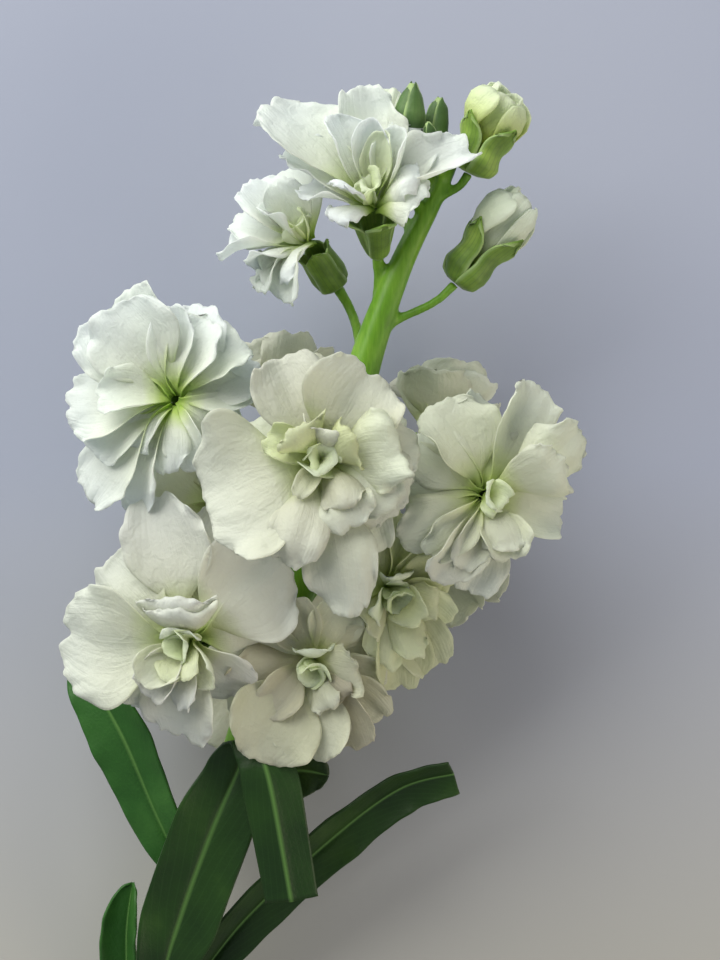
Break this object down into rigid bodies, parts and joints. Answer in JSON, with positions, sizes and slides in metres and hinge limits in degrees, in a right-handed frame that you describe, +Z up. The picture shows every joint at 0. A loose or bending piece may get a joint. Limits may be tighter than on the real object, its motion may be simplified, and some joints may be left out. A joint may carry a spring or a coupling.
{
  "type": "cut flower stem",
  "caption": "Cut stem of a double-flowered stock lying on its back: a spike of white rosette blooms and green buds above strap-shaped leaves.",
  "frame": {"origin": "centre of the footprint, on the surface that the cut stem lies on", "axes": "+Y along the spike, from the cut end towards the buds; +Z up from the surface; +X to the right as seen from above with the buds away from the viewer"},
  "size_m": [0.1029, 0.2276, 0.069],
  "materials": {
    "petal": "soft, slightly translucent white petal with a cream and green base",
    "sepal": "matt green with a fine grey down",
    "stem": "satin fresh green, round",
    "leaf": "dark green, satin, with a paler midrib"
  },
  "bodies": {
    "root": {"stem": "stem", "leaf_left": "leaf", "leaf_arch": "leaf", "leaf_right": "leaf", "leaf_round": "leaf", "leaf_low": "leaf", "petals_centre": "petal", "petals_left": "petal", "petals_right": "petal", "petals_lower_left": "petal", "petals_bottom": "petal", "petals_lower_right": "petal", "petals_top": "petal", "petals_upper_left": "petal", "petals_upper_back_left": "petal", "petals_upper_back_right": "petal", "petals_back_left": "petal", "petals_back_centre": "petal", "petals_back_right": "petal", "petals_back_bottom": "petal", "calyx_centre": "sepal", "calyx_left": "sepal", "calyx_right": "sepal", "calyx_lower_left": "sepal", "calyx_bottom": "sepal", "calyx_lower_right": "sepal", "calyx_top": "sepal", "calyx_upper_left": "sepal", "calyx_upper_back_left": "sepal", "calyx_upper_back_right": "sepal", "calyx_back_left": "sepal", "calyx_back_centre": "sepal", "calyx_back_right": "sepal", "calyx_back_bottom": "sepal", "bud_tall": "sepal", "bud_middle": "sepal", "bud_small": "sepal", "bud_sepals_yellow": "sepal", "bud_sepals_side": "sepal", "bud_sepals_hidden": "sepal", "bud_petals_yellow": "petal", "bud_petals_side": "petal", "bud_petals_hidden": "petal"}
  },
  "joints": []
}
